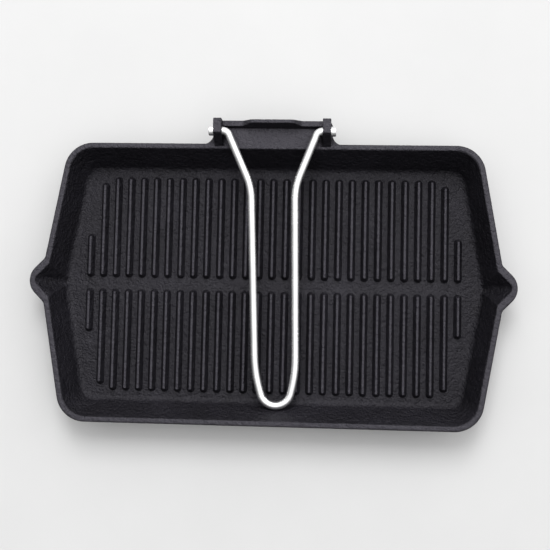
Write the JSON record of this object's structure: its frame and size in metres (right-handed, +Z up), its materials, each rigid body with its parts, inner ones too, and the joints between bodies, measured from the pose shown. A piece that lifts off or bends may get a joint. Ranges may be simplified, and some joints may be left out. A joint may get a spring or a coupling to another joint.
{
  "type": "grill pan",
  "caption": "Rectangular cast-iron grill pan with ribbed floor, a pour spout at each end and a folding wire handle.",
  "frame": {"origin": "centre of the pan's flat underside", "axes": "+X along the long side towards one spout, +Y towards the hinge bracket, +Z up out of the pan"},
  "size_m": [0.3602, 0.2261, 0.043],
  "materials": {
    "seasoned_cast_iron": "black sand-cast iron with a fine grain and a thin seasoned sheen",
    "bright_steel_wire": "bright drawn stainless wire, softly polished",
    "bright_steel_cap": "bright pressed steel"
  },
  "bodies": {
    "pan": {"pan_body": "seasoned_cast_iron"},
    "handle": {"handle_wire": "bright_steel_wire", "left_end_cap": "bright_steel_cap", "right_end_cap": "bright_steel_cap"}
  },
  "joints": [
    {"name": "handle_fold", "type": "hinge", "parent": "pan", "child": "handle", "pos_m": [0, 0.1124, 0.036], "axis": [-1, 0, 0], "range_deg": [0, 178]}
  ]
}
